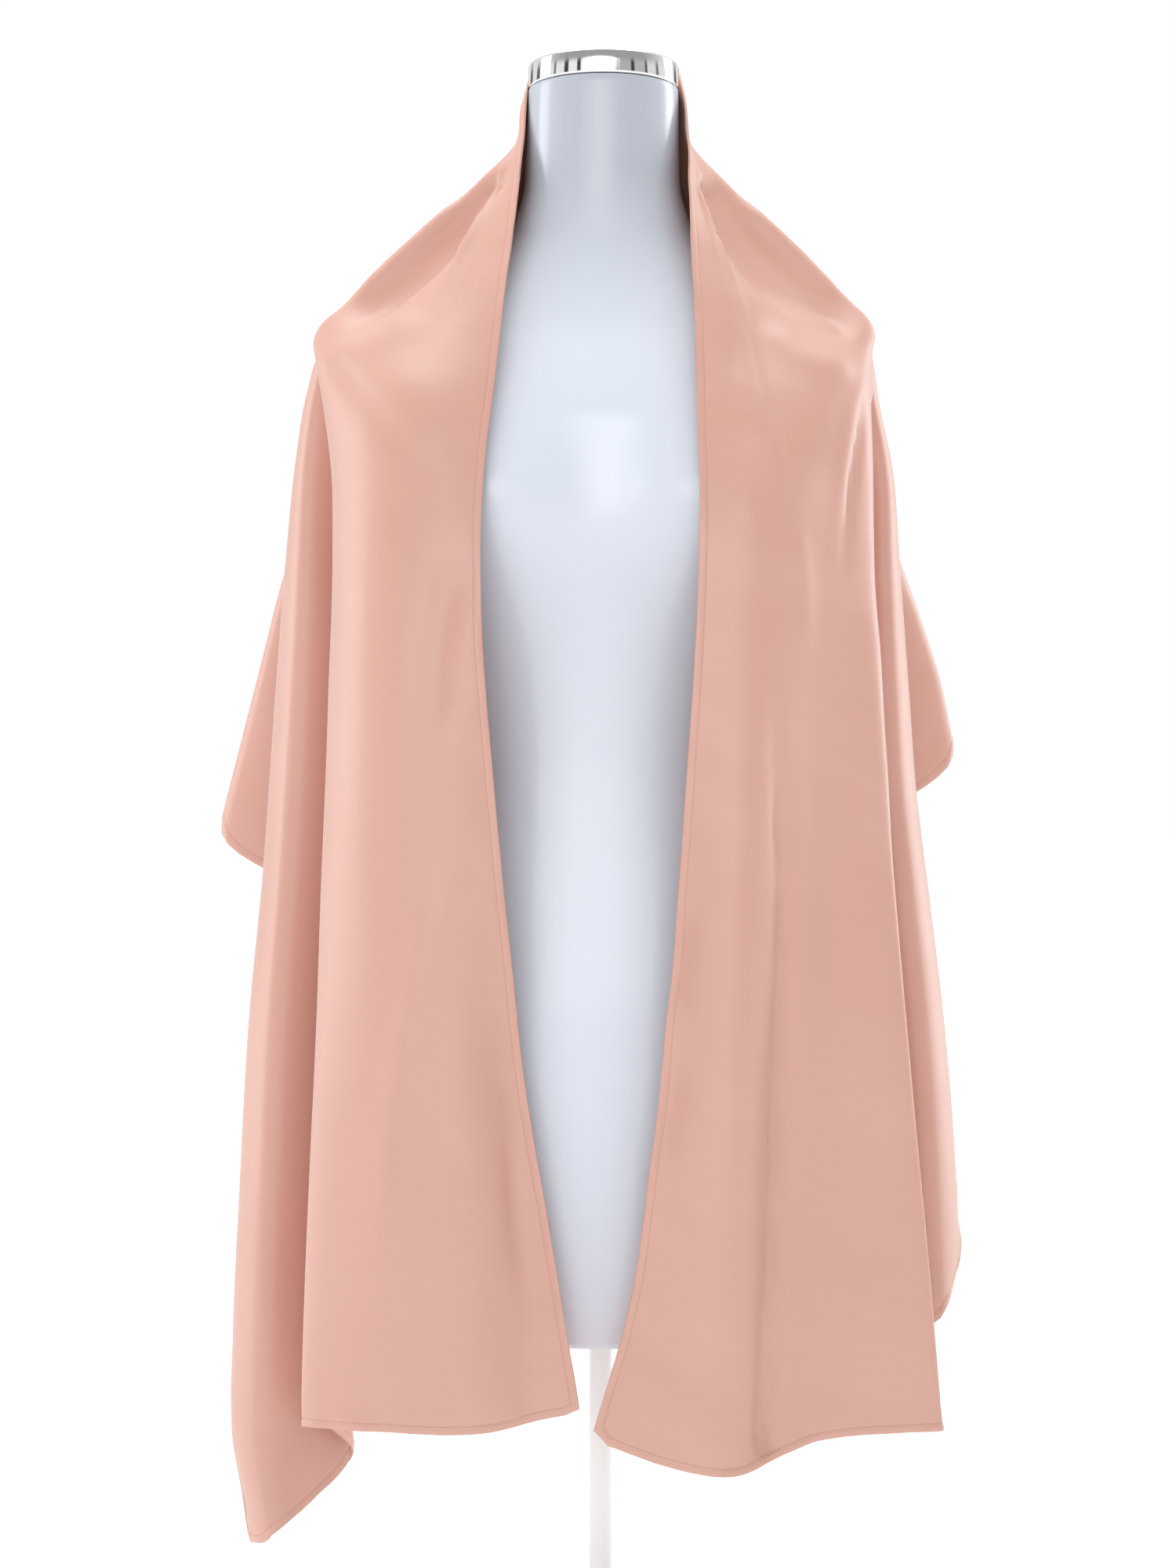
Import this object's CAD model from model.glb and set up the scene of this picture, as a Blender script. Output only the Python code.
"""Evening stole on a dress form: materials, sewing, light and camera.

Metres, +Z up, the front faces -Y. The cloth is one continuous satin sheet on the form of the
packed stretches, with a stitched narrow hem all round and its folds and creases placed by hand.
"""

import math

import bmesh
import bpy
import numpy as np
from mathutils import Matrix, Vector, noise
from mathutils.bvhtree import BVHTree
from mathutils.kdtree import KDTree


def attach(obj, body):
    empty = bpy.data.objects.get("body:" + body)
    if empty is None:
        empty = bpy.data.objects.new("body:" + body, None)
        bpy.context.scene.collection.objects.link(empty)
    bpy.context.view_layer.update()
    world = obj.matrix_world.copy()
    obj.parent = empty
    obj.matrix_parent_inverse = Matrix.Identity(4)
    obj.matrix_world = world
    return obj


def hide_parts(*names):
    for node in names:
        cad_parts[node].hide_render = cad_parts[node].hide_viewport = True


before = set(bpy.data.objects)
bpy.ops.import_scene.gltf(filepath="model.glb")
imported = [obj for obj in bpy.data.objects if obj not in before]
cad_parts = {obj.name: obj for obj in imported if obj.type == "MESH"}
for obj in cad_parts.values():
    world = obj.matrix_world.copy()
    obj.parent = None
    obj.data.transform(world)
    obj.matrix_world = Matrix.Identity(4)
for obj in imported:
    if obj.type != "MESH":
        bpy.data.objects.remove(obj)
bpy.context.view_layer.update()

MM = 0.001

# Photo geometry: how wide a pixel is at the middle of the form, and where the camera stands.
PHOTO_HEIGHT = 2000
PIXEL = 0.000546
CAMERA = (-0.00874, -2.05, 0.60)
SENSOR = 36.0

# Stand
BASE_RADIUS = 0.150
BASE_THICKNESS = 0.009
BASE_BEVEL = 0.003
SOCKET_RADIUS = 0.016
SOCKET_HEIGHT = 0.030
POST_RADIUS = 0.0080
FLANGE_RADIUS = 0.030
FLANGE_THICKNESS = 0.008
STAND_BEVEL = 0.002
POST_BEVEL = 0.4 * MM
PART_GAP = 0.3 * MM
RIM_SIDES = 160
POST_SIDES = 48
SHARP_ANGLE = 40

# Dress form
FORM_BOTTOM = 0.222
NECK_TOP = 1.083
CAP_HEIGHT = 0.0165
CAP_RADIUS = 0.0520
CAP_BEVEL = 0.0018
CAP_DISH = 0.3 * MM
NECK_OFFSET_X = 0.002
SHOULDER_HEIGHT = 0.900
FORM_SECTIONS = [
    # height, half_width, front, back, squareness
    (0.228, 0.131, 0.087, 0.085, 2.10),
    (0.300, 0.142, 0.092, 0.098, 2.15),
    (0.420, 0.150, 0.096, 0.108, 2.20),
    (0.520, 0.138, 0.090, 0.094, 2.20),
    (0.620, 0.116, 0.081, 0.072, 2.15),
    (0.710, 0.130, 0.084, 0.080, 2.20),
    (0.790, 0.156, 0.090, 0.092, 2.30),
    (0.845, 0.179, 0.090, 0.094, 2.30),
    (0.875, 0.188, 0.083, 0.089, 2.25),
    (0.893, 0.188, 0.076, 0.084, 2.20),
    (0.909, 0.177, 0.070, 0.079, 2.20),
    (0.924, 0.150, 0.066, 0.075, 2.15),
    (0.946, 0.104, 0.061, 0.068, 2.05),
    (0.980, 0.066, 0.055, 0.058, 2.00),
    (1.020, 0.054, 0.0525, 0.053, 2.00),
    (1.083, 0.0522, 0.0522, 0.0522, 2.00),
]
FORM_SIDES = 144
FORM_RINGS = 150
FORM_FOOT = 0.006
FORM_NECK_ROUND = 0.0016
FORM_NECK_START = 0.0017
FORM_ROUND_STEPS = 6
FORM_END_INSET = 0.004
BUST = {"height": 0.790, "half_spacing": 0.082, "depth": 0.030, "spread_x": 0.052, "spread_z": 0.058}
BUST_SIDE_FADE = 1.6

# Stole
CLOTH = 0.7 * MM
HEM_FOLD = 0.6 * MM
HEM_FOLD_GAP = 0.05 * MM
REST_CLEARANCE = 1.3 * MM
REST_PASSES = 3
# Only cloth this near the form's middle can touch it; the form is narrower from front to back.
REST_ZONE = 0.21
REST_ZONE_DEPTH = 1.3
REST_SEARCH = 0.01
CHEST_LEVEL = 0.860
ROWS_ABOVE = 58
ROWS_BELOW = 88
COLUMNS = [10, 14, 14, 12, 8, 8, 10, 8, 10, 12, 10, 8, 8, 9]
HEM_STEPS = np.array([0.0, 0.7, 1.8, 3.2, 4.4, 5.1, 5.8, 7.0, 9.0]) * MM
HEM_SHARE = 0.30
HEM_SLANT_LIMIT = 4.0
EDGE_SAMPLE = 0.8 * MM
STITCH_ROW = 5
STITCH_LENGTH = 1.55 * MM
STITCH_PITCH = 2.1 * MM
STITCH_RADIUS = 0.26 * MM
STITCH_FLATTEN = 0.8
STITCH_STAND = 0.02 * MM
STITCH_AIM = 0.5 * MM
PRESSED_LINE = 5.3  # mm from the edge

# Relief along the hem, in mm: rise, distance from the edge, width.
HEM_RELIEF = [(0.35, 2.6, 1.9), (-0.22, 5.2, 0.8)]

# Unevenness of the satin: rise in mm, turns of the pattern a metre sideways and up, its shift.
BROAD_SWELL = (0.9, 14, 3.0, 0)
FINE_SWELL = (0.25, 34, 8, 5)
HEM_RIPPLE = (2.4, 60, 42, 9)
RIPPLE_ZONE = 0.03
RIPPLE_WIDTH = 0.014
RIPPLE_TOP = 1.2

# How a crease is laid: steps along it, mm from line to line, how many of its widths and how many
# lines to either side it can reach.
CREASE_STEPS = 60
LINE_SPACING = 60
CREASE_WIDTHS = 3.2
CREASE_LINES = 1.3

COLLAR_RINGS = [
    # height, half_width, behind
    (1098, 53.4, 53.4),
    (1072, 56.5, 56.0),
    (1048, 59.5, 60.0),
]

# Lines down the cloth, in millimetres: (height, out, back).
HIDDEN_LINES = {
    "valley": [(985, 116, 6), (920, 183, -2), (885, 184, -15), (850, 178, -30), (790, 162, -42),
        (700, 138, -52), (600, 124, -60), (500, 146, -62), (420, 156, -64), (300, 148, -70),
        (215, 130, -76), (150, 112, -74)],
    "tuck": [(985, 112, 16), (920, 182, 4), (885, 185, -5), (850, 184, -14), (790, 181, -22),
        (700, 182, -30), (600, 184, -34), (420, 193, -40), (150, 190, -42)],
    "tuck_valley": [(985, 105, 28), (920, 180, 10), (885, 185, 3), (850, 182, 3), (790, 174, 12),
        (700, 156, 26), (600, 146, 37), (500, 152, 40), (420, 160, 42), (300, 165, 40), (150, 177, 33)],
    "hollow": [(985, 86, 51), (920, 166, 32), (860, 186, 38), (790, 184, 52), (700, 170, 64),
        (600, 162, 70), (500, 172, 74), (150, 190, 78)],
    "shoulder_blade": [(985, 54, 78), (920, 108, 91), (860, 146, 114), (790, 168, 134), (700, 184, 150),
        (600, 196, 162), (500, 206, 170), (150, 214, 176)],
    "blade_hollow": [(985, 36, 82), (920, 71, 103), (860, 100, 114), (790, 120, 117), (700, 136, 115),
        (600, 146, 112), (500, 152, 110), (150, 160, 108)],
    "back_swell": [(985, 18, 84), (920, 36, 107), (860, 52, 122), (790, 66, 135), (700, 78, 147),
        (600, 86, 154), (500, 92, 159), (150, 96, 162)],
    "centre": [(985, 0, 85), (920, 0, 107), (860, 0, 118), (790, 0, 124), (700, 0, 126), (600, 0, 127),
        (500, 0, 127), (150, 0, 127)],
}
RIGHT_LINES = {
    "edge": [(1096, 52, 17), (1087, 53, 2), (1061, 54, -14), (1030, 56, -30), (988, 59, -52),
        (948, 63, -70), (914, 66, -85), (870, 70, -102), (827, 75, -117), (784, 78, -129),
        (712, 78, -137), (600, 70, -135), (498, 60, -131), (395, 47, -128), (308, 33, -125),
        (189, 14, -120)],
    "ridge": [(1030, 64, -18), (1008, 74, -27), (984, 84, -37), (960, 94, -47), (935, 107, -59),
        (906, 113, -78), (860, 108, -110), (790, 110, -128), (700, 112, -136), (600, 108, -138),
        (420, 96, -136), (150, 74, -124)],
    "trough": [(1024, 70, -9), (1004, 84, -10), (978, 106, -11), (954, 130, -15), (935, 150, -21),
        (914, 166, -34), (885, 166, -64), (860, 161, -86), (790, 156, -107), (700, 157, -116),
        (600, 158, -118), (420, 158, -119), (150, 146, -114)],
    "front_fold": [(1018, 88, 0), (985, 123, -2), (950, 160, -5), (930, 180, -8), (919, 192, -11),
        (908, 197, -15), (892, 195, -26), (862, 189, -42), (812, 181, -57), (758, 179, -66),
        (653, 182, -72), (547, 186, -76), (442, 189, -78), (338, 194, -81), (233, 199, -83),
        (150, 201, -84)],
    "side_roll": [(985, 101, 33), (920, 182, 15), (895, 194, 7), (874, 199, 5), (832, 205, 4),
        (766, 209, 6), (667, 215, 7), (533, 224, 8), (433, 231, 8), (322, 236, 6), (212, 240, 4),
        (140, 240, 2), (66, 228, 0)],
    "side_fold": [(985, 96, 38), (920, 179, 20), (902, 196, 16), (876, 205, 17), (832, 213, 22),
        (766, 221, 30), (667, 230, 35), (533, 240, 38), (433, 249, 38), (322, 255, 36), (212, 260, 33),
        (140, 260, 30), (66, 245, 25)],
    "wing": [(985, 72, 65), (920, 143, 60), (860, 188, 76), (800, 212, 88), (749, 231, 98),
        (692, 247, 106), (635, 262, 110), (574, 277, 110), (150, 300, 116)],
}
LEFT_LINES = {
    "edge": [(1103, 53, 22), (1090, 55, 8), (1073, 57, -8), (1042, 59, -25), (1000, 60, -48),
        (971, 60, -62), (925, 62, -82), (880, 63, -100), (837, 63, -116), (795, 64, -129),
        (712, 62, -137), (600, 55, -135), (472, 45, -131), (344, 31, -127), (266, 20, -123),
        (176, -5, -120)],
    "ridge": [(1028, 64, -17), (1008, 69, -26), (984, 75, -37), (960, 82, -49), (930, 91, -63),
        (900, 97, -77), (860, 104, -100), (828, 108, -114), (790, 106, -128), (700, 98, -137),
        (600, 92, -140), (420, 86, -140), (150, 89, -130)],
    "trough": [(1024, 74, -8), (1004, 84, -10), (978, 100, -13), (952, 120, -18), (930, 143, -25),
        (910, 160, -38), (885, 162, -60), (850, 154, -86), (790, 150, -100), (700, 146, -106),
        (600, 142, -102), (420, 140, -98), (150, 146, -100)],
    "front_fold": [(1018, 87, 0), (985, 121, -2), (950, 157, -5), (935, 172, -7), (923, 184, -10),
        (911, 189, -15), (899, 187, -22), (868, 184, -40), (812, 183, -57), (759, 183, -66),
        (653, 188, -70), (537, 196, -75), (416, 206, -79), (291, 218, -82), (150, 230, -84)],
    "side_roll": [(985, 99, 33), (920, 179, 15), (899, 187, 9), (868, 191, 7), (821, 198, 6),
        (755, 201, 7), (667, 205, 7), (600, 209, 8), (528, 217, 8), (433, 227, 8), (350, 233, 6),
        (264, 237, 3), (150, 234, -2)],
    "side_fold": [(985, 94, 38), (920, 177, 20), (899, 189, 15), (868, 195, 17), (821, 205, 22),
        (755, 211, 30), (667, 218, 35), (600, 223, 37), (528, 232, 38), (433, 243, 38), (350, 250, 36),
        (264, 254, 33), (150, 250, 26)],
    "wing": [(985, 72, 65), (920, 141, 60), (860, 184, 76), (800, 204, 88), (760, 220, 98),
        (720, 235, 103), (675, 250, 108), (629, 259, 110), (150, 276, 116)],
}
LINE_ORDER = ["edge", "ridge", "trough", "front_fold", "valley", "tuck", "tuck_valley", "side_roll",
              "side_fold", "hollow", "wing", "shoulder_blade", "blade_hollow", "back_swell", "centre"]
HEM_CORNERS = ["edge", "side_fold", "wing", "centre"]
RIGHT_TOPS = [1096, 1096, 1097, 1097] + [1098] * 11
LEFT_TOPS = [1103, 1103, 1102, 1101, 1100, 1100, 1099, 1099] + [1098] * 7
RIGHT_HEMS = [189, 175, 174, 171, 169, 168, 122, 76, 66, 450, 574, 540, 525, 512, 506]
LEFT_HEMS = [176, 148, 165, 168, 167, 164, 186, 228, 264, 520, 629, 566, 538, 516, 506]

# Creases and soft swells of each half. A crease runs through points given as (lines round from
# the front edge, height in mm), stands rise mm proud (below 0 it is a trough), is about width mm
# wide on either side, and fades over the first and last shares of its length.
NECK_AND_SHOULDER_RIGHT = [
    # rise, width, fade_in, fade_out, path
    (4.4, 4.2, 0.1, 0.4, [(1.12, 1036), (1.12, 1015), (1.08, 991), (1.09, 964), (1.03, 930)]),
    (-8.5, 13.0, 0.1, 0.3, [(1.30, 1024), (1.52, 994), (1.64, 972), (1.68, 957), (1.78, 941),
        (1.92, 926), (2.35, 914)]),
    (3.2, 6.0, 0.2, 0.3, [(2.66, 1010), (2.70, 981), (2.72, 951), (2.76, 925)]),
    (3.0, 16.0, 0.2, 0.4, [(1.30, 924), (1.55, 904), (2.00, 893), (2.60, 897)]),
    (-1.3, 6.0, 0.4, 0.4, [(0.60, 962), (0.71, 939), (0.81, 917), (1.04, 890)]),
    (-1.8, 9.0, 0.1, 0.4, [(2.50, 893), (2.02, 866), (1.67, 839), (1.40, 822), (0.97, 785)]),
    (1.2, 14.0, 0.3, 0.4, [(1.60, 885), (1.20, 850), (0.85, 805)]),
]
NECK_AND_SHOULDER_LEFT = [
    (4.0, 3.4, 0.1, 0.2, [(0.80, 1032), (0.86, 1004), (1.00, 967), (1.01, 943), (1.02, 910),
        (1.03, 880), (1.06, 854), (1.15, 822), (1.42, 784)]),
    (-6.5, 15.0, 0.1, 0.3, [(1.12, 1022), (1.32, 990), (1.48, 962), (1.62, 940), (1.80, 924),
        (2.05, 917), (2.60, 914)]),
    (3.2, 6.0, 0.2, 0.3, [(2.62, 1009), (2.70, 977), (2.74, 948), (2.76, 922)]),
    (3.4, 15.0, 0.2, 0.4, [(1.25, 916), (1.45, 894), (1.80, 882), (2.53, 886)]),
    (2.0, 24.0, 0.3, 0.3, [(1.22, 840), (1.45, 808), (1.75, 780)]),
    (-2.0, 9.0, 0.3, 0.3, [(0.78, 910), (0.74, 870), (0.80, 840), (0.90, 805)]),
    (1.5, 6.0, 0.2, 0.4, [(2.75, 894), (2.40, 852), (2.22, 807), (2.15, 760)]),
    (-3.0, 3.6, 0.3, 0.4, [(2.61, 872), (2.51, 840), (2.41, 814), (2.36, 789), (2.31, 761),
        (2.28, 725)]),
    (2.0, 6.0, 0.4, 0.4, [(0.60, 797), (0.80, 784), (1.02, 774)]),
]
BACK_RIGHT = [
    (3.0, 9.0, 0.2, 0.1, [(10.9, 1000), (11.0, 900), (10.8, 780), (10.7, 640)]),
    (-4.0, 11.0, 0.3, 0.0, [(11.6, 960), (11.7, 860), (11.9, 740), (12.0, 600), (12.0, 520)]),
    (-3.0, 7.0, 0.3, 0.3, [(13.3, 930), (13.4, 820), (13.3, 690), (13.2, 560)]),
    (2.4, 6.0, 0.3, 0.2, [(12.5, 880), (12.6, 760), (12.7, 620)]),
    (-1.8, 4.5, 0.3, 0.4, [(11.3, 985), (11.9, 940), (12.6, 905), (13.4, 885)]),
    (-2.5, 8.0, 0.3, 0.3, [(9.4, 930), (9.6, 820), (9.7, 700), (9.6, 600)]),
    (1.4, 5.0, 0.3, 0.3, [(9.0, 1075), (11.0, 1062), (13.0, 1066)]),
    (-1.6, 5.0, 0.3, 0.3, [(6.0, 1048), (9.0, 1032), (12.0, 1038), (13.5, 1046)]),
]
BACK_LEFT = [
    (3.4, 10.0, 0.2, 0.1, [(11.1, 985), (11.0, 880), (10.7, 760), (10.5, 650)]),
    (-4.4, 10.0, 0.3, 0.0, [(11.9, 940), (12.0, 840), (12.1, 720), (12.2, 580), (12.2, 520)]),
    (-2.2, 6.0, 0.3, 0.3, [(12.9, 900), (13.0, 800), (12.8, 700)]),
    (2.8, 8.0, 0.3, 0.1, [(13.5, 860), (13.4, 730), (13.5, 560)]),
    (-2.0, 5.0, 0.3, 0.4, [(11.2, 1000), (11.7, 955), (12.3, 925), (12.9, 905)]),
    (-2.8, 9.0, 0.3, 0.3, [(9.3, 910), (9.5, 800), (9.5, 690)]),
    (1.2, 6.0, 0.3, 0.3, [(8.0, 1068), (10.5, 1074), (12.5, 1070)]),
    (-1.5, 6.0, 0.3, 0.3, [(7.0, 1036), (10.0, 1042), (13.0, 1030)]),
]
RIGHT_CREASES = NECK_AND_SHOULDER_RIGHT + BACK_RIGHT + [
    (-5.0, 14.0, 0.3, 0.3, [(0.45, 760), (0.80, 707), (0.92, 671), (0.84, 625)]),
    (2.5, 12.0, 0.3, 0.4, [(0.23, 740), (0.44, 671), (0.84, 597)]),
    (3.6, 11.0, 0.3, 0.4, [(0.83, 569), (1.18, 508), (1.51, 424), (1.76, 344), (1.91, 270)]),
    (-13.0, 28.0, 0.3, 0.0, [(0.00, 500), (0.10, 420), (0.30, 340), (0.50, 260), (0.60, 170)]),
    (-4.0, 9.0, 0.4, 0.4, [(0.26, 405), (0.44, 313), (0.43, 231)]),
    (-1.2, 3.0, 0.4, 0.2, [(1.45, 313), (1.49, 261), (1.62, 175)]),
]
LEFT_CREASES = NECK_AND_SHOULDER_LEFT + BACK_LEFT + [
    (1.6, 7.0, 0.4, 0.4, [(1.44, 785), (1.60, 756), (1.71, 725), (1.81, 680)]),
    (-6.5, 7.0, 0.3, 0.0, [(1.31, 690), (1.45, 610), (1.58, 550), (1.68, 471), (1.70, 391), (1.62, 291),
        (1.49, 170)]),
    (-8.0, 22.0, 0.5, 0.0, [(1.40, 560), (1.60, 471), (1.62, 391), (1.55, 291), (1.42, 170)]),
    (2.6, 10.0, 0.3, 0.4, [(1.73, 640), (1.88, 550), (1.94, 470), (1.94, 390), (1.86, 270)]),
    (2.5, 13.0, 0.3, 0.4, [(2.70, 740), (2.75, 650), (2.72, 540)]),
    (-4.0, 9.0, 0.4, 0.4, [(0.30, 530), (0.16, 493), (0.20, 445)]),
    (-4.2, 10.0, 0.4, 0.4, [(0.36, 430), (0.23, 390), (0.32, 345)]),
]

# Looks
SATIN_OUTSIDE = {
    "light": (0.645, 0.352, 0.282), "dark": (0.625, 0.332, 0.262), "roughness": 0.45, "sheen": 0.22,
    "specular": 0.75,
}
SATIN_INSIDE = {
    "light": (0.76, 0.43, 0.34), "dark": (0.72, 0.40, 0.31), "roughness": 0.62, "sheen": 0.15,
    "specular": 0.3,
}
SATIN_PRESSED = (0.58, 0.27, 0.19)
SATIN_TINT = (0.70, 0.96, 1.0, 1.0)
SHELL_NECK = (0.46, 0.49, 0.55)
WHITE = (1.0, 1.0, 1.0, 1.0)

# The room that shows in the chrome: share of a full turn (0.5 is straight in front), brightness.
ROOM_BANDS = [
    (0.00, 0.15), (0.025, 0.90), (0.075, 0.15), (0.11, 0.90), (0.155, 0.15), (0.18, 0.90), (0.215, 0.15),
    (0.23, 0.90), (0.27, 0.20), (0.285, 0.95), (0.325, 0.05), (0.345, 1.00), (0.385, 0.05), (0.40, 1.00),
    (0.44, 0.05), (0.455, 0.95), (0.485, 0.05), (0.50, 0.60), (0.545, 0.05), (0.56, 0.50), (0.615, 0.05),
    (0.63, 0.55), (0.68, 0.10), (0.695, 0.85), (0.74, 0.20), (0.755, 0.90), (0.80, 0.20), (0.815, 0.90),
    (0.885, 0.15), (0.92, 0.90), (0.975, 0.15),
]
ROOM_BLUE = 1.02
LIGHTS = [
    # name, place, aimed at, size, power, spread in degrees
    ("left soft box", (-2.7, 0.5, 1.2), (0, 0, 0.62), (1.0, 2.2), 26, None),
    ("right soft box", (2.3, 1.3, 1.2), (0, 0, 0.62), (1.0, 2.2), 30, None),
    ("overhead soft box", (0.0, 0.1, 2.8), (0, 0.0, 0.6), (2.0, 1.4), 34, None),
    ("front soft box", (-0.2, -3.2, 1.3), (0.04, 0, 0.60), (3.4, 1.6), 5.8, 60),
    ("small left lamp", (-1.5, -2.8, 1.3), (0, 0, 0.75), (0.3, 0.5), 1.6, None),
]


# Curves

def cubic(t, span, start, start_tangent, end, end_tangent):
    """A cubic curve between two points that has these tangents there; t runs from 0 to 1."""
    return (
        (2 * t**3 - 3 * t**2 + 1) * start
        + (t**3 - 2 * t**2 + t) * span * start_tangent
        + (-2 * t**3 + 3 * t**2) * end
        + (t**3 - t**2) * span * end_tangent
    )


def curve_through(knots, values, tangents, at):
    """The curve through values at increasing knots that has these tangents there."""
    at = np.clip(at, knots[0], knots[-1])
    i = np.clip(np.searchsorted(knots, at, side="right") - 1, 0, len(knots) - 2)
    span = knots[i + 1] - knots[i]
    t = ((at - knots[i]) / span)[:, None]
    return cubic(t, span[:, None], values[i], tangents[i], values[i + 1], tangents[i + 1])


def round_curve(knots, values, at):
    """A curve that swings round its points, as a fold does: chord-weighted Catmull-Rom."""
    spans = np.diff(knots)
    slopes = np.diff(values, axis=0) / spans[:, None]
    before, after = spans[:-1, None], spans[1:, None]
    inner = (slopes[:-1] * after + slopes[1:] * before) / (before + after)
    return curve_through(knots, values, np.vstack([slopes[:1], inner, slopes[-1:]]), at)


def steady_curve(knots, values, at):
    """A curve that never swings past its points, as the form's outline must not."""
    slopes = np.diff(values, axis=0) / np.diff(knots)[:, None]
    product = slopes[:-1] * slopes[1:]
    total = np.where(product > 0, slopes[:-1] + slopes[1:], 1.0)
    inner = np.where(product > 0, 2 * product / total, 0.0)
    return curve_through(knots, values, np.vstack([slopes[:1], inner, slopes[-1:]]), at)


def round_curves(knots, values, at):
    """One round curve for each row: knots [row][knot], values [row][knot][2], at [row]."""
    spans = np.diff(knots, axis=1)
    slopes = np.diff(values, axis=1) / spans[..., None]
    before, after = spans[:, :-1, None], spans[:, 1:, None]
    inner = (slopes[:, :-1] * after + slopes[:, 1:] * before) / (before + after)
    tangents = np.concatenate([slopes[:, :1], inner, slopes[:, -1:]], axis=1)
    i = np.clip((at[:, None] >= knots).sum(axis=1) - 1, 0, knots.shape[1] - 2)
    row = np.arange(len(at))
    span = spans[row, i][:, None]
    t = (at - knots[row, i])[:, None] / span
    return cubic(t, span, values[row, i], tangents[row, i], values[row, i + 1], tangents[row, i + 1])


def lengths_along(points, axis=0):
    """How far along each point of a line is from its start; for a grid, along that axis."""
    steps = np.cumsum(np.linalg.norm(np.diff(points, axis=axis), axis=-1), axis=axis)
    return np.concatenate([np.zeros_like(steps.take([0], axis=axis)), steps], axis=axis)


# Objects

def in_scene(name, data):
    """A new object in the scene that holds this data."""
    obj = bpy.data.objects.new(name, data)
    bpy.context.scene.collection.objects.link(obj)
    return obj


def add_object(name, bm, materials, smooth=True):
    """Makes a bmesh a piece of the part, with its materials on it."""
    mesh = bpy.data.meshes.new(name)
    bm.to_mesh(mesh)
    bm.free()
    for material in materials:
        mesh.materials.append(material)
    if smooth:
        mesh.shade_smooth()
    return in_scene(name, mesh)


def grid_from(points):
    """A grid moved to points given as [row down][column], and which point each vertex is."""
    rows, columns = points.shape[:2]
    bm = bmesh.new()
    bmesh.ops.create_grid(bm, x_segments=columns - 1, y_segments=rows - 1, size=1)
    places = []
    for v in bm.verts:
        column = round((v.co.x + 1) / 2 * (columns - 1))
        row = round((1 - v.co.y) / 2 * (rows - 1))
        places.append((row, column))
    for v, (row, column) in zip(bm.verts, places):
        v.co = points[row, column]
    return bm, places


# Dress form

def neck_shift(height):
    """The neck stands a little to the left of the body's middle: how far, at one height."""
    share = (np.asarray(height) - SHOULDER_HEIGHT) / (NECK_TOP - SHOULDER_HEIGHT)
    return NECK_OFFSET_X * np.clip(share, 0.0, 1.0)


def bust_swell(x, z):
    """How far the chest stands forward of the plain section."""
    rise = np.exp(-(((z - BUST["height"]) / BUST["spread_z"]) ** 2))
    left = np.exp(-(((x - BUST["half_spacing"]) / BUST["spread_x"]) ** 2))
    right = np.exp(-(((x + BUST["half_spacing"]) / BUST["spread_x"]) ** 2))
    return BUST["depth"] * rise * (left + right)


def signed_power(value, power):
    return np.sign(value) * np.abs(value) ** power


def form_points():
    """The form's surface, ring by ring from the neck down to the foot."""
    table = np.array(FORM_SECTIONS)
    levels = np.linspace(NECK_TOP, table[0, 0], FORM_RINGS)
    sizes = steady_curve(table[:, 0], table[:, 1:], levels)
    angles = np.linspace(0, 2 * math.pi, FORM_SIDES + 1)
    half_width, front, back, power = [column[:, None] for column in sizes.T]
    c, s = np.cos(angles)[None, :], np.sin(angles)[None, :]
    x = half_width * signed_power(c, 2 / power)
    y = np.where(s > 0, back, front) * signed_power(s, 2 / power)
    z = np.repeat(levels[:, None], len(angles), axis=1)
    y = np.where(s < 0, y - bust_swell(x, z) * np.minimum(1.0, np.abs(s) * BUST_SIDE_FADE), y)
    x = x + neck_shift(z)
    body = np.stack([x, y, z], axis=2)
    # The neck and the foot turn in over a small round.
    rims = []
    for ring, is_neck, radius in ((body[0], True, FORM_NECK_ROUND), (body[-1], False, FORM_FOOT)):
        middle = ring.mean(axis=0)
        inward = middle - ring
        inward[:, 2] = 0
        inward /= np.linalg.norm(inward, axis=1)[:, None]
        turns = []
        for turn in np.linspace(0.15, 1.0, FORM_ROUND_STEPS) * math.pi / 2:
            step = inward * (1 - math.cos(turn)) * radius
            lift = (math.sin(turn) - 1) * radius if is_neck else -math.sin(turn) * radius
            moved = ring + step
            moved[:, 2] = ring[:, 2] + lift
            turns.append(moved)
        rims.append(turns)
    neck = rims[0][::-1]
    start = int(np.searchsorted(-levels, -(NECK_TOP - FORM_NECK_START)))
    return np.stack(neck + list(body[start:]) + rims[1])


def make_form(material):
    """The moulded torso: a grid round the body, welded at its seam, with flat ends."""
    bm, _ = grid_from(form_points())
    bmesh.ops.remove_doubles(bm, verts=bm.verts, dist=1e-6)
    rims = [e for e in bm.edges if e.is_boundary]
    bmesh.ops.holes_fill(bm, edges=rims, sides=0)
    for face in [f for f in bm.faces if len(f.verts) > 4]:
        bmesh.ops.inset_individual(bm, faces=[face], thickness=FORM_END_INSET)
    bmesh.ops.recalc_face_normals(bm, faces=bm.faces)
    return add_object("torso", bm, [material])


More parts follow.
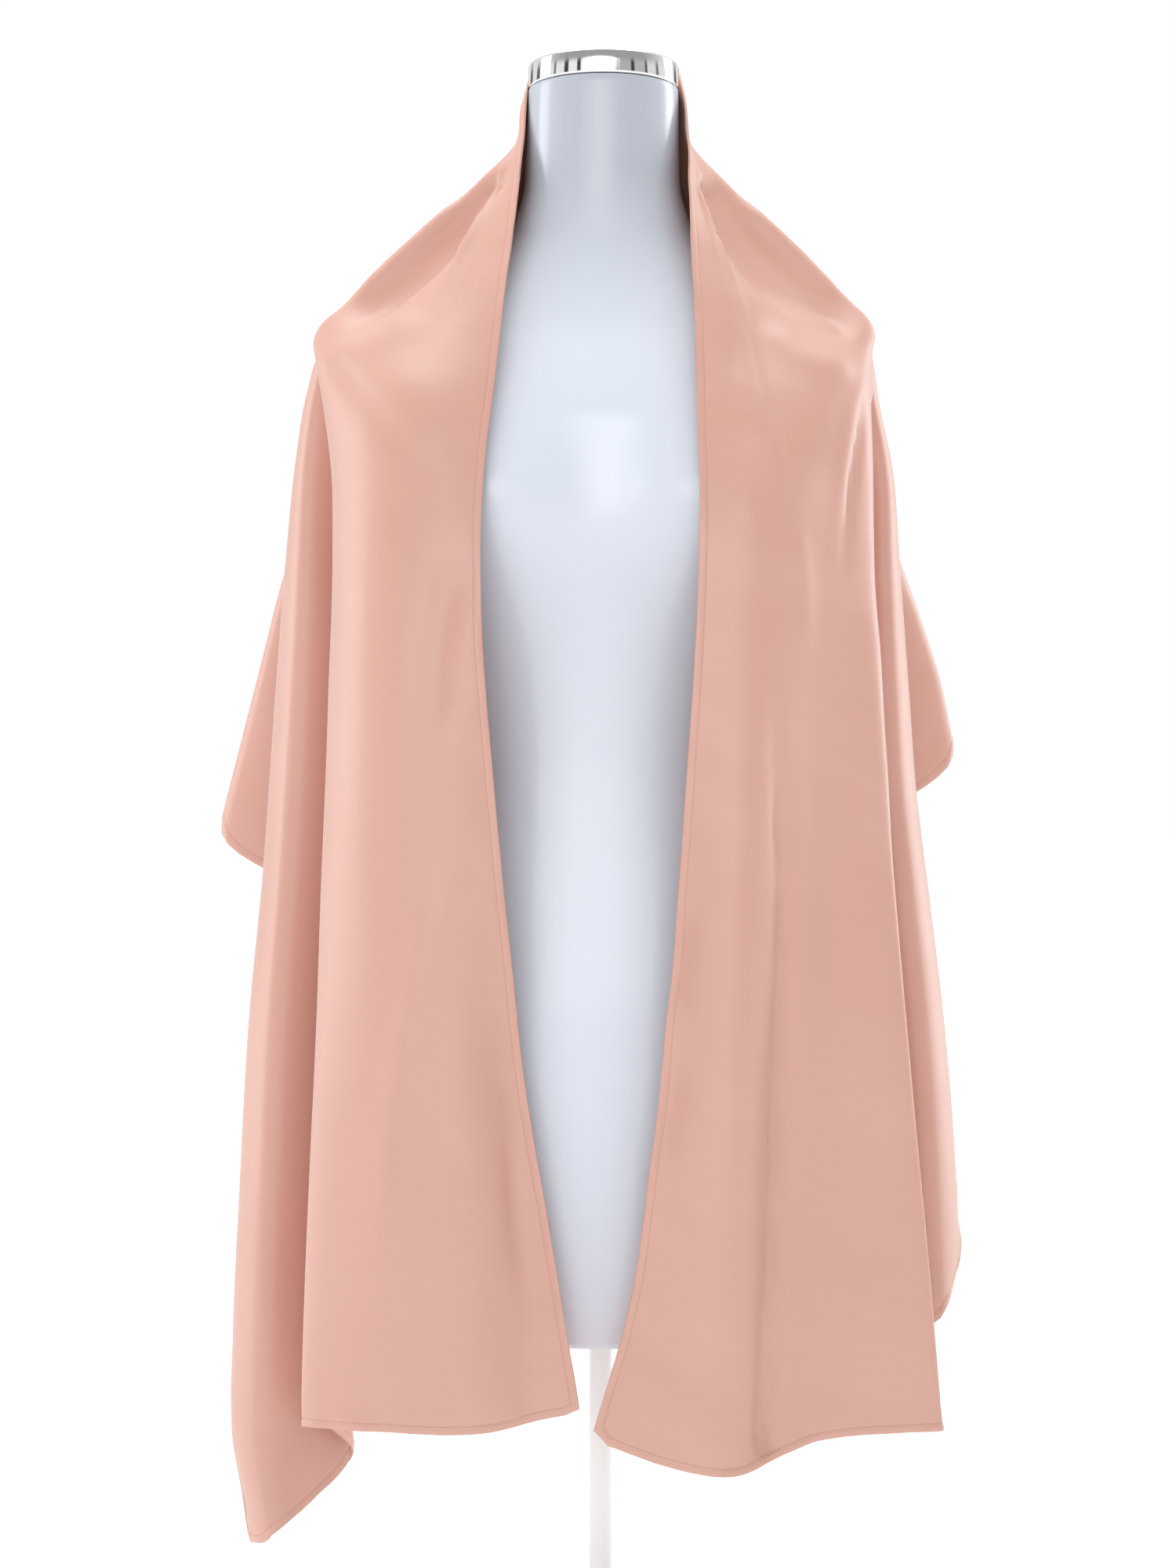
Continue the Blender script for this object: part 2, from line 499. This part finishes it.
def turned(name, radius, bottom, top, material, bevel, sides=96, x=0.0, dish=0.0):
    """An upright turned piece with rounded rims; dish sinks the middle of its top a little."""
    bm = bmesh.new()
    place = Matrix.Translation((x, 0, (bottom + top) / 2))
    bmesh.ops.create_cone(
        bm, cap_ends=True, segments=sides, radius1=radius, radius2=radius, depth=top - bottom, matrix=place
    )
    rims = [e for e in bm.edges if abs(e.verts[0].co.z - e.verts[1].co.z) < 1e-6]
    bmesh.ops.bevel(
        bm, geom=rims, offset=bevel, segments=4, profile=0.5, affect="EDGES", material=-1, clamp_overlap=True
    )
    caps = [f for f in bm.faces if len(f.verts) > 4]
    bmesh.ops.inset_individual(bm, faces=caps, thickness=bevel * 1.5)
    if dish:
        top_cap = max((f for f in bm.faces if len(f.verts) > 4), key=lambda f: f.calc_center_median().z)
        bmesh.ops.inset_individual(bm, faces=[top_cap], thickness=radius * 0.02, depth=-dish)
    bmesh.ops.recalc_face_normals(bm, faces=bm.faces)
    obj = add_object(name, bm, [material])
    sharp_by_angle(obj)
    return obj


def sharp_by_angle(obj):
    """Smooth shading, except across edges that turn more than SHARP_ANGLE."""
    bm = bmesh.new()
    bm.from_mesh(obj.data)
    for e in bm.edges:
        e.smooth = e.calc_face_angle(0.0) < math.radians(SHARP_ANGLE)
    bm.to_mesh(obj.data)
    bm.free()


def make_stand(paint, metal):
    """Base, socket, post and flange, and the cap on the neck."""
    socket_top = BASE_THICKNESS + SOCKET_HEIGHT
    flange_bottom = FORM_BOTTOM - PART_GAP - FLANGE_THICKNESS
    cap_bottom = NECK_TOP + PART_GAP
    pieces = {
        "base_plate": turned("base_disc", BASE_RADIUS, 0.0, BASE_THICKNESS, paint, BASE_BEVEL, RIM_SIDES),
        "post_socket": turned(
            "socket_turned", SOCKET_RADIUS, BASE_THICKNESS + PART_GAP, socket_top, paint, STAND_BEVEL
        ),
        "post": turned(
            "rod", POST_RADIUS, socket_top + PART_GAP, flange_bottom - PART_GAP, paint, POST_BEVEL,
            POST_SIDES,
        ),
        "form_flange": turned(
            "flange_turned", FLANGE_RADIUS, flange_bottom, FORM_BOTTOM - PART_GAP, paint, STAND_BEVEL
        ),
        "neck_cap": turned(
            "cap_turned", CAP_RADIUS, cap_bottom, cap_bottom + CAP_HEIGHT, metal, CAP_BEVEL, RIM_SIDES,
            NECK_OFFSET_X, CAP_DISH,
        ),
    }
    for node, obj in pieces.items():
        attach(obj, "root")
        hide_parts(node)


# Stole

def line_at(table, heights):
    """Where a line of the cloth is at some heights: out and back, in metres."""
    rows = np.array(sorted(table)) * MM
    return round_curve(rows[:, 0], rows[:, 1:], heights)


def with_collar(lines):
    """Adds to each line behind the front edge its points on the collar, evenly round the neck."""
    full = {"edge": lines["edge"]}
    for k, name in enumerate(LINE_ORDER[1:], start=1):
        rows = []
        for height, half_width, behind in COLLAR_RINGS:
            out, back = line_at(lines["edge"], np.array([height * MM]))[0] / MM
            start = math.atan2(back, out)
            angle = start + (math.pi / 2 - start) * k / (len(LINE_ORDER) - 1)
            rows.append((height, half_width * math.cos(angle), behind * math.sin(angle)))
        full[name] = rows + lines[name]
    return full


def column_places():
    """How many lines round from the front edge each column of a half is."""
    places = list(HEM_SHARE * HEM_STEPS / HEM_STEPS[-1])
    places += list(np.linspace(HEM_SHARE, 1, COLUMNS[0] + 1)[1:])
    for strip, count in enumerate(COLUMNS[1:], start=1):
        places += list(np.linspace(strip, strip + 1, count + 1)[1:])
    return np.array(places)


def hem_heights(hems, places):
    """Height of the hem at each column: it turns sharply at the hem corners only."""
    index = np.arange(len(LINE_ORDER), dtype=float)
    hems = np.array(hems)[:, None] * MM
    corners = [LINE_ORDER.index(name) for name in HEM_CORNERS]
    heights = np.zeros(len(places))
    for first, last in zip(corners, corners[1:]):
        inside = (places >= first) & (places <= last)
        run = slice(first, last + 1)
        heights[inside] = round_curve(index[run], hems[run], places[inside])[:, 0]
    return heights


def cloth_points(lines, places, heights, side):
    """Points of one half of the cloth at its columns' places and heights, as [row down][column]."""
    points = np.zeros(heights.shape + (3,))
    zone = len(HEM_STEPS)
    row = np.arange(len(heights))
    for k, place in enumerate(places):
        section = np.stack([line_at(lines[name], heights[:, k]) for name in LINE_ORDER], axis=1)
        section = np.concatenate([section, section[:, -2:-1] * (-1, 1)], axis=1)
        chord = lengths_along(section, axis=1)

        def chord_at(where):
            strip = min(int(where), len(LINE_ORDER) - 2)
            return chord[:, strip] + (chord[:, strip + 1] - chord[:, strip]) * (where - strip)

        if k < zone:
            along = np.full(len(row), HEM_STEPS[k])
        elif place < 2:
            room = (chord_at(2) - HEM_STEPS[-1]) / (chord_at(2) - chord_at(HEM_SHARE))
            along = HEM_STEPS[-1] + (chord_at(place) - chord_at(HEM_SHARE)) * room
        else:
            along = chord_at(place)
        spot = round_curves(chord, section, along)
        points[:, k, 0] = side * spot[:, 0] + neck_shift(heights[:, k])
        points[:, k, 1] = spot[:, 1]
        points[:, k, 2] = heights[:, k]
    return points


def cloth_half(lines, tops, hems, side):
    """One half of the cloth: rows crowd together in both hems and over the neck and shoulder."""
    lines = with_collar(lines)
    places = column_places()
    top = np.interp(places, np.arange(len(LINE_ORDER)), tops) * MM
    hem = hem_heights(hems, places)
    line = cloth_points(lines, places, hem[None, :], side)[0]
    run = np.linalg.norm(np.gradient(line[:, :2], axis=0), axis=1)
    slant = np.sqrt(1 + (np.gradient(hem) / np.maximum(run, 1e-6)) ** 2)
    slant = np.minimum(slant, HEM_SLANT_LIMIT)
    columns = []
    for k in range(len(places)):
        upper = top[k] - HEM_STEPS
        lower = hem[k] + HEM_STEPS[::-1] * slant[k]
        above = np.linspace(upper[-1], CHEST_LEVEL, ROWS_ABOVE + 1)[1:]
        below = np.linspace(CHEST_LEVEL, lower[0], ROWS_BELOW + 1)[1:]
        columns.append(np.concatenate([upper, above, below, lower[1:]]))
    heights = np.stack(columns, axis=1)
    return cloth_points(lines, places, heights, side), places


def outward(points):
    """Unit normals of a grid of points, away from the middle of the form."""
    across = np.gradient(points, axis=1)
    down = np.gradient(points, axis=0)
    normal = np.cross(across, down)
    normal /= np.maximum(np.linalg.norm(normal, axis=2), 1e-12)[..., None]
    if (normal[..., :2] * points[..., :2]).sum() < 0:
        normal = -normal
    return normal


def add_creases(points, places, creases):
    """Raises or sinks the cloth along each crease, most on its line and fading to both sides."""
    for rise, width, fade_in, fade_out, path in creases:
        normal = outward(points)
        table = np.array(path, dtype=float)
        length = lengths_along(table * (LINE_SPACING, 1))
        share = np.linspace(0, 1, CREASE_STEPS)
        way = round_curve(length / length[-1], table, share)
        spots = []
        for place, height in way:
            k = np.interp(place, places, np.arange(len(places)))
            low = min(int(k), len(places) - 2)
            column = points[:, low] * (1 - k + low) + points[:, low + 1] * (k - low)
            order = np.argsort(column[:, 2])
            spots.append([np.interp(height * MM, column[order, 2], column[order, axis]) for axis in range(3)])
        spots = np.array(spots)
        reach = CREASE_WIDTHS * width * MM
        beside = places[None, :] - np.clip(places[None, :], way[:, 0].min(), way[:, 0].max())
        near = np.abs(beside) < CREASE_LINES
        low, high = spots[:, 2].min() - reach, spots[:, 2].max() + reach
        chosen = np.argwhere(near & (points[..., 2] > low) & (points[..., 2] < high))
        here = points[chosen[:, 0], chosen[:, 1]]
        gaps = np.linalg.norm(here[:, None, :] - spots[None, :, :], axis=2)
        nearest = gaps.argmin(axis=1)
        gap = gaps[np.arange(len(gaps)), nearest]
        at = share[nearest]
        fade = np.ones(len(at))
        if fade_in:
            fade *= np.clip(at / fade_in, 0, 1)
        if fade_out:
            fade *= np.clip((1 - at) / fade_out, 0, 1)
        fade = fade * fade * (3 - 2 * fade)
        lift = rise * MM * fade * np.exp(-((gap / (width * MM)) ** 2))
        points[chosen[:, 0], chosen[:, 1]] += normal[chosen[:, 0], chosen[:, 1]] * lift[:, None]


def rest_on(points, tree):
    """Moves the cloth out of the form to where it rests: its points, and the middles between them."""
    rows, columns = points.shape[:2]
    for _ in range(REST_PASSES):
        for down, along in ((0, 0), (0, 1), (1, 0)):
            here = points[: rows - down, : columns - along]
            there = points[down:, along:]
            middles = (here + there) / 2
            away = np.hypot(middles[..., 0], middles[..., 1] * REST_ZONE_DEPTH)
            for r, c in np.argwhere(away < REST_ZONE):
                spot, normal, _, _ = tree.find_nearest(Vector(middles[r, c]), REST_SEARCH)
                if spot is None:
                    continue
                short = REST_CLEARANCE - (Vector(middles[r, c]) - spot).dot(normal)
                if short > 0:
                    points[r, c] += np.array(normal) * short
                    if down or along:
                        points[r + down, c + along] += np.array(normal) * short


def edge_distances(points):
    """How far each point of the cloth is from its nearest edge."""
    samples = []
    for line in (points[0], points[-1], points[:, 0], points[:, -1]):
        for a, b in zip(line, line[1:]):
            count = max(1, int(np.linalg.norm(b - a) / EDGE_SAMPLE))
            samples += [a + (b - a) * (i / count) for i in range(count)]
        samples.append(line[-1])
    tree = KDTree(len(samples))
    for i, sample in enumerate(samples):
        tree.insert(sample, i)
    tree.balance()
    rows, columns = points.shape[:2]
    gaps = np.zeros((rows, columns))
    for r in range(rows):
        for c in range(columns):
            gaps[r, c] = tree.find(points[r, c])[2]
    return gaps


def hem_relief(gaps):
    """The hem's turned layers fill it out a little, and the stitches pull a groove along it."""
    mm = gaps / MM
    return sum(rise * np.exp(-(((mm - at) / width) ** 2)) for rise, at, width in HEM_RELIEF) * MM


def uneven(point, rise, sideways, upward, shift):
    """One layer of the satin's unevenness at a point."""
    x, y, z = point
    return rise * noise.noise(Vector((x * sideways + shift, y * sideways, z * upward)))


def puckers(points, gaps):
    """Small uneven ripples beside the stitching, and a soft unevenness all over the satin."""
    lift = np.zeros(points.shape[:2])
    for r, c in np.ndindex(lift.shape):
        spot, gap = points[r, c], gaps[r, c]
        lift[r, c] = uneven(spot, *BROAD_SWELL) + uneven(spot, *FINE_SWELL)
        if gap < RIPPLE_ZONE:
            share = math.exp(-((gap / RIPPLE_WIDTH) ** 2)) * min(1.0, RIPPLE_TOP - spot[2])
            lift[r, c] += uneven(spot, *HEM_RIPPLE) * share
    return lift * MM


def make_cloth(points, material, inside):
    """The satin sheet, with a flat plan of the cloth as its UV map and its edge distance stored."""
    rows, columns = points.shape[:2]
    bm, places = grid_from(points)
    across = lengths_along(points, axis=1)
    down = lengths_along(points, axis=0)
    uv = bm.loops.layers.uv.new("UVMap")
    bm.verts.index_update()
    for face in bm.faces:
        for loop in face.loops:
            row, column = places[loop.vert.index]
            loop[uv].uv = (across[row, column], down[row, column])
    bm.normal_update()
    middle = places.index((rows // 2, columns // 2))
    bm.verts.ensure_lookup_table()
    if bm.verts[middle].normal.y < 0:
        bmesh.ops.reverse_faces(bm, faces=bm.faces)
    obj = add_object("stole_cloth", bm, [material, inside])
    gaps = edge_distances(points)
    store = obj.data.attributes.new("edge_mm", "FLOAT", "POINT")
    store.data.foreach_set("value", [gaps[place] / MM for place in places])
    wall = obj.modifiers.new("Cloth", "SOLIDIFY")
    wall.thickness = CLOTH
    wall.offset = 0
    wall.use_quality_normals = True
    wall.material_offset = 1
    return obj


def make_hem(points, normal, material):
    """The turned layer of the hem, on the inside along all four edges."""
    rows, columns = points.shape[:2]
    inner = points - normal * (CLOTH / 2 + HEM_FOLD_GAP)
    bm, places = grid_from(inner)
    bm.verts.index_update()

    def in_hem(face):
        for axis, count in enumerate((rows, columns)):
            spots = [places[v.index][axis] for v in face.verts]
            if max(spots) <= STITCH_ROW or min(spots) >= count - 1 - STITCH_ROW:
                return True
        return False

    rest = [f for f in bm.faces if not in_hem(f)]
    bmesh.ops.delete(bm, geom=rest, context="FACES")
    bm.normal_update()
    lowest = min(bm.verts, key=lambda v: v.co.y)
    if lowest.normal.y > 0:
        bmesh.ops.reverse_faces(bm, faces=bm.faces)
    obj = add_object("stole_hem", bm, [material])
    wall = obj.modifiers.new("Turning", "SOLIDIFY")
    wall.thickness = HEM_FOLD
    wall.offset = -1
    wall.use_quality_normals = True
    return obj


def make_stitches(points, normal, material):
    """One row of short stitches along all four edges, each lying in the cloth's outer face."""
    rows, columns = points.shape[:2]
    near, far = STITCH_ROW, -1 - STITCH_ROW
    runs = [
        (points[near:rows - near, near], normal[near:rows - near, near]),
        (points[near:rows - near, far], normal[near:rows - near, far]),
        (points[near, near:columns - near], normal[near, near:columns - near]),
        (points[far, near:columns - near], normal[far, near:columns - near]),
    ]
    one = bmesh.new()
    bmesh.ops.create_icosphere(one, subdivisions=1, radius=1)
    stitch = bpy.data.meshes.new("stitch")
    one.to_mesh(stitch)
    one.free()
    bm = bmesh.new()
    for line, up in runs:
        length = lengths_along(line)
        count = int(length[-1] / STITCH_PITCH)
        at = (np.arange(count) + 0.5) * length[-1] / count
        middle, ahead, facing = (
            np.stack([np.interp(where, length, table[:, axis]) for axis in range(3)], axis=1)
            for where, table in ((at, line), (at + STITCH_AIM, line), (at, up))
        )
        for spot, tip, out in zip(middle, ahead, facing):
            along = Vector(tip - spot).normalized()
            out = Vector(out).normalized()
            side = out.cross(along).normalized()
            out = along.cross(side)
            turn = Matrix((along, side, out)).transposed().to_4x4()
            size = Matrix.Diagonal((STITCH_LENGTH / 2, STITCH_RADIUS, STITCH_RADIUS * STITCH_FLATTEN, 1))
            place = Matrix.Translation(Vector(spot) + out * (CLOTH / 2 + STITCH_STAND))
            laid = stitch.copy()
            laid.transform(place @ turn @ size)
            bm.from_mesh(laid)
            bpy.data.meshes.remove(laid)
    bpy.data.meshes.remove(stitch)
    return add_object("stole_stitches", bm, [material])


def make_stole(torso, satin, inside, thread):
    """The whole stole: cloth, its hem and the stitching."""
    tree = BVHTree.FromObject(torso, bpy.context.evaluated_depsgraph_get())
    halves = []
    for own, tops, hems, side, creases in (
        (RIGHT_LINES, RIGHT_TOPS, RIGHT_HEMS, -1, RIGHT_CREASES),
        (LEFT_LINES, LEFT_TOPS, LEFT_HEMS, 1, LEFT_CREASES),
    ):
        half, places = cloth_half({**HIDDEN_LINES, **own}, tops, hems, side)
        add_creases(half, places, creases)
        halves.append(half)
    right, left = halves
    points = np.concatenate([right, left[:, -2::-1]], axis=1)
    gaps = edge_distances(points)
    normal = outward(points)
    points = points + normal * (hem_relief(gaps) + puckers(points, gaps))[..., None]
    rest_on(points, tree)
    normal = outward(points)
    cloth = make_cloth(points, satin, inside)
    hem = make_hem(points, normal, inside)
    stitches = make_stitches(points, normal, thread)
    for obj in (cloth, hem, stitches):
        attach(obj, "root")
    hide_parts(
        "stole_right_front", "stole_right_side", "stole_back", "stole_left_side", "stole_left_front"
    )


# Materials

def node_adder(tree):
    """A helper that adds a node to a tree: its settings, then its inputs in order or by name."""
    def node(kind, settings=None, *ordered, **named):
        made = tree.nodes.new(kind)
        for key, value in (settings or {}).items():
            setattr(made, key, value)
        filled = list(zip(made.inputs, ordered))
        filled += [(made.inputs[key.replace("_", " ")], value) for key, value in named.items()]
        for socket, value in filled:
            if isinstance(value, bpy.types.NodeSocket):
                tree.links.new(value, socket)
            elif value is not None:
                socket.default_value = value
        return made

    return node


def new_material(name):
    """A plain material, its shader, and helpers to add a node and to join one to the shader."""
    material = bpy.data.materials.new(name)
    material.use_nodes = True
    tree = material.node_tree
    shader = tree.nodes["Principled BSDF"]

    def join(output, socket):
        tree.links.new(output, shader.inputs[socket])

    return material, shader, node_adder(tree), join


def mix_colours(node, factor, first, second):
    """A colour mix: first where factor is 0, second where it is 1."""
    skipped = [None] * 5
    first, second = (c if isinstance(c, bpy.types.NodeSocket) else (*c, 1.0) for c in (first, second))
    return node("ShaderNodeMix", {"data_type": "RGBA"}, factor, *skipped, first, second).outputs[2]


def satin_material(name, light, dark, roughness, sheen, specular):
    """Satin: fine warp threads, faint weft streaks, soft colour drift and a pressed hem line."""
    material, shader, node, join = new_material(name)
    uv = node("ShaderNodeUVMap", {"uv_map": "UVMap"}).outputs["UV"]
    threads = node("ShaderNodeMapping", Vector=uv, Scale=(2600.0, 160.0, 1.0))
    weave = node("ShaderNodeTexNoise", Vector=threads.outputs["Vector"], Scale=1.0, Detail=2.0)
    wefts = node("ShaderNodeMapping", Vector=uv, Scale=(26.0, 900.0, 1.0))
    streak = node(
        "ShaderNodeTexNoise", Vector=wefts.outputs["Vector"], Scale=1.0, Detail=3.0, Roughness=0.6
    )
    drift = node("ShaderNodeTexNoise", Vector=uv, Scale=7.0, Detail=3.0)
    tone = node("ShaderNodeMapRange", Value=drift.outputs["Fac"], From_Min=0.3, From_Max=0.7)
    colour = mix_colours(node, tone.outputs["Result"], light, dark)
    fleck = node(
        "ShaderNodeMapRange", Value=streak.outputs["Fac"], From_Min=0.35, From_Max=0.75,
        To_Min=1.015, To_Max=0.98,
    )
    shade = node("ShaderNodeVectorMath", {"operation": "SCALE"}, colour, Scale=fleck.outputs["Result"])
    edge = node("ShaderNodeAttribute", {"attribute_name": "edge_mm"}).outputs["Fac"]
    off = node("ShaderNodeMath", {"operation": "SUBTRACT"}, edge, PRESSED_LINE)
    away = node("ShaderNodeMath", {"operation": "ABSOLUTE"}, off.outputs[0])
    seam = node(
        "ShaderNodeMapRange", {"interpolation_type": "SMOOTHSTEP"}, Value=away.outputs[0],
        From_Min=0.2, From_Max=1.0, To_Min=0.2, To_Max=0.0,
    )
    pressed = mix_colours(node, seam.outputs["Result"], shade.outputs["Vector"], SATIN_PRESSED)
    join(pressed, "Base Color")
    heights = node("ShaderNodeMath", {"operation": "ADD"}, weave.outputs["Fac"], streak.outputs["Fac"])
    bump = node("ShaderNodeBump", Strength=0.16, Distance=0.00005, Height=heights.outputs[0])
    join(bump.outputs["Normal"], "Normal")
    gloss = node(
        "ShaderNodeMapRange", Value=streak.outputs["Fac"], To_Min=roughness - 0.04, To_Max=roughness + 0.05
    )
    join(gloss.outputs["Result"], "Roughness")
    shader.inputs["Specular IOR Level"].default_value = specular
    shader.inputs["Sheen Weight"].default_value = sheen
    shader.inputs["Sheen Roughness"].default_value = 0.35
    shader.inputs["Sheen Tint"].default_value = SATIN_TINT
    shader.inputs["Specular Tint"].default_value = SATIN_TINT
    return material


def thread_material():
    """Polyester thread, a tone deeper than the satin."""
    material, shader, node, join = new_material("thread")
    place = node("ShaderNodeTexCoord").outputs["Object"]
    twist = node("ShaderNodeTexNoise", Vector=place, Scale=2500.0)
    colour = mix_colours(node, twist.outputs["Fac"], (0.66, 0.33, 0.25), (0.52, 0.23, 0.16))
    join(colour, "Base Color")
    shader.inputs["Roughness"].default_value = 0.5
    return material


def shell_material():
    """Moulded plastic of the form: pale blue grey, greyer at the neck, with faint brush marks."""
    material, shader, node, join = new_material("form shell")
    place = node("ShaderNodeTexCoord").outputs["Object"]
    drift = node("ShaderNodeTexNoise", Vector=place, Scale=5.0, Detail=3.0)
    colour = mix_colours(node, drift.outputs["Fac"], (0.68, 0.73, 0.82), (0.72, 0.76, 0.84))
    height = node("ShaderNodeSeparateXYZ", Vector=place).outputs["Z"]
    neck = node("ShaderNodeMapRange", Value=height, From_Min=0.90, From_Max=1.02)
    greyer = mix_colours(node, neck.outputs["Result"], colour, SHELL_NECK)
    join(greyer, "Base Color")
    strokes = node("ShaderNodeMapping", Vector=place, Scale=(420.0, 420.0, 26.0))
    brush = node("ShaderNodeTexNoise", Vector=strokes.outputs["Vector"], Scale=1.0, Detail=2.0)
    patches = node("ShaderNodeTexNoise", Vector=place, Scale=16.0, Detail=1.0)
    where = node("ShaderNodeMapRange", Value=patches.outputs["Fac"], From_Min=0.52, From_Max=0.72)
    marks = node(
        "ShaderNodeMath", {"operation": "MULTIPLY"}, brush.outputs["Fac"], where.outputs["Result"]
    )
    bump = node("ShaderNodeBump", Strength=0.25, Distance=0.0001, Height=marks.outputs[0])
    join(bump.outputs["Normal"], "Normal")
    gloss = node("ShaderNodeMapRange", Value=drift.outputs["Fac"], To_Min=0.26, To_Max=0.34)
    join(gloss.outputs["Result"], "Roughness")
    shader.inputs["Coat Weight"].default_value = 0.35
    shader.inputs["Coat Roughness"].default_value = 0.14
    return material


def chrome_material():
    """Polished chrome plate with the faintest waves and wipe marks."""
    material, shader, node, join = new_material("chrome")
    place = node("ShaderNodeTexCoord").outputs["Object"]
    waves = node("ShaderNodeTexNoise", Vector=place, Scale=30.0, Detail=1.0)
    bump = node("ShaderNodeBump", Strength=0.1, Distance=0.0008, Height=waves.outputs["Fac"])
    join(bump.outputs["Normal"], "Normal")
    wipe = node("ShaderNodeTexNoise", Vector=place, Scale=90.0, Detail=4.0)
    gloss = node("ShaderNodeMapRange", Value=wipe.outputs["Fac"], To_Min=0.04, To_Max=0.10)
    join(gloss.outputs["Result"], "Roughness")
    shader.inputs["Base Color"].default_value = (0.82, 0.82, 0.82, 1.0)
    shader.inputs["Metallic"].default_value = 1.0
    return material


def paint_material():
    """Satin white powder coat of the stand."""
    material, shader, node, join = new_material("stand paint")
    place = node("ShaderNodeTexCoord").outputs["Object"]
    peel = node("ShaderNodeTexNoise", Vector=place, Scale=900.0, Detail=2.0)
    bump = node("ShaderNodeBump", Strength=0.12, Distance=0.0001, Height=peel.outputs["Fac"])
    join(bump.outputs["Normal"], "Normal")
    drift = node("ShaderNodeTexNoise", Vector=place, Scale=8.0)
    colour = mix_colours(node, drift.outputs["Fac"], (0.84, 0.84, 0.84), (0.89, 0.89, 0.88))
    join(colour, "Base Color")
    shader.inputs["Roughness"].default_value = 0.38
    return material


# Studio

def make_floor():
    """A wide plain white floor."""
    bm = bmesh.new()
    bmesh.ops.create_grid(bm, x_segments=1, y_segments=1, size=30)
    material, shader, _, _ = new_material("floor")
    shader.inputs["Base Color"].default_value = (0.3, 0.3, 0.3, 1.0)
    shader.inputs["Roughness"].default_value = 0.9
    shader.inputs["Specular IOR Level"].default_value = 0.1
    shader.inputs["Emission Color"].default_value = WHITE
    shader.inputs["Emission Strength"].default_value = 0.96
    floor = add_object("floor", bm, [material], smooth=False)


def area_light(name, place, target, size, power, spread):
    """A soft rectangular light aimed at a point, wide open where no spread is given."""
    data = bpy.data.lights.new(name, "AREA")
    data.shape = "RECTANGLE"
    data.size, data.size_y = size
    data.energy = power
    if spread:
        data.spread = math.radians(spread)
    light = in_scene(name, data)
    light.location = place
    aim = Vector(target) - Vector(place)
    light.rotation_euler = aim.to_track_quat("-Z", "Y").to_euler()


def make_studio():
    """Plain white behind the part; for all else, a room with light and dark uprights and soft boxes."""
    world = bpy.data.worlds.new("studio")
    bpy.context.scene.world = world
    world.use_nodes = True
    tree = world.node_tree
    tree.nodes.clear()
    node = node_adder(tree)
    direction = node("ShaderNodeTexCoord").outputs["Generated"]
    parts = node("ShaderNodeSeparateXYZ", None, direction).outputs
    forward = node("ShaderNodeMath", {"operation": "MULTIPLY"}, parts["Y"], -1.0)
    turn = node("ShaderNodeMath", {"operation": "ARCTAN2"}, parts["X"], forward.outputs[0])
    share = node("ShaderNodeMapRange", Value=turn.outputs[0], From_Min=-math.pi, From_Max=math.pi)
    walls = node("ShaderNodeValToRGB", Fac=share.outputs["Result"])
    ramp = walls.color_ramp
    ramp.interpolation = "CONSTANT"
    while len(ramp.elements) < len(ROOM_BANDS):
        ramp.elements.new(0.5)
    for element, (place, level) in zip(ramp.elements, ROOM_BANDS):
        element.position = place
        element.color = (level, level, level * ROOM_BLUE, 1.0)
    smooth = {"interpolation_type": "SMOOTHSTEP"}
    steepness = node("ShaderNodeMath", {"operation": "ABSOLUTE"}, parts["Z"])
    above = node("ShaderNodeMapRange", smooth, Value=steepness.outputs[0], From_Min=0.20, From_Max=0.34)
    sky = node(
        "ShaderNodeMapRange", smooth, Value=parts["Y"], From_Min=-0.5, From_Max=0.4,
        To_Min=0.40, To_Max=0.85,
    )
    light = mix_colours(
        node, above.outputs["Result"], walls.outputs["Color"], sky.outputs["Result"]
    )
    room = node("ShaderNodeBackground", None, light)
    plain = node("ShaderNodeBackground", None, WHITE)
    to_camera = node("ShaderNodeLightPath").outputs["Is Camera Ray"]
    choose = node("ShaderNodeMixShader", None, to_camera, room.outputs[0], plain.outputs[0])
    node("ShaderNodeOutputWorld", Surface=choose.outputs[0])

    for lamp in LIGHTS:
        area_light(*lamp)


def make_camera():
    """Level camera straight in front of the part, at the height of its waist."""
    data = bpy.data.cameras.new("camera")
    data.sensor_width = SENSOR
    data.lens = SENSOR * -CAMERA[1] / (PHOTO_HEIGHT * PIXEL)
    camera = in_scene("camera", data)
    camera.location = CAMERA
    camera.rotation_euler = (math.pi / 2, 0, 0)
    bpy.context.scene.camera = camera
    bpy.context.scene.view_settings.view_transform = "Standard"


def main():
    make_camera()
    make_floor()
    make_studio()
    shell = shell_material()
    torso = make_form(shell)
    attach(torso, "root")
    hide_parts("dress_form")
    make_stand(paint_material(), chrome_material())
    satin = satin_material("satin", **SATIN_OUTSIDE)
    inside = satin_material("satin inside", **SATIN_INSIDE)
    make_stole(torso, satin, inside, thread_material())


main()
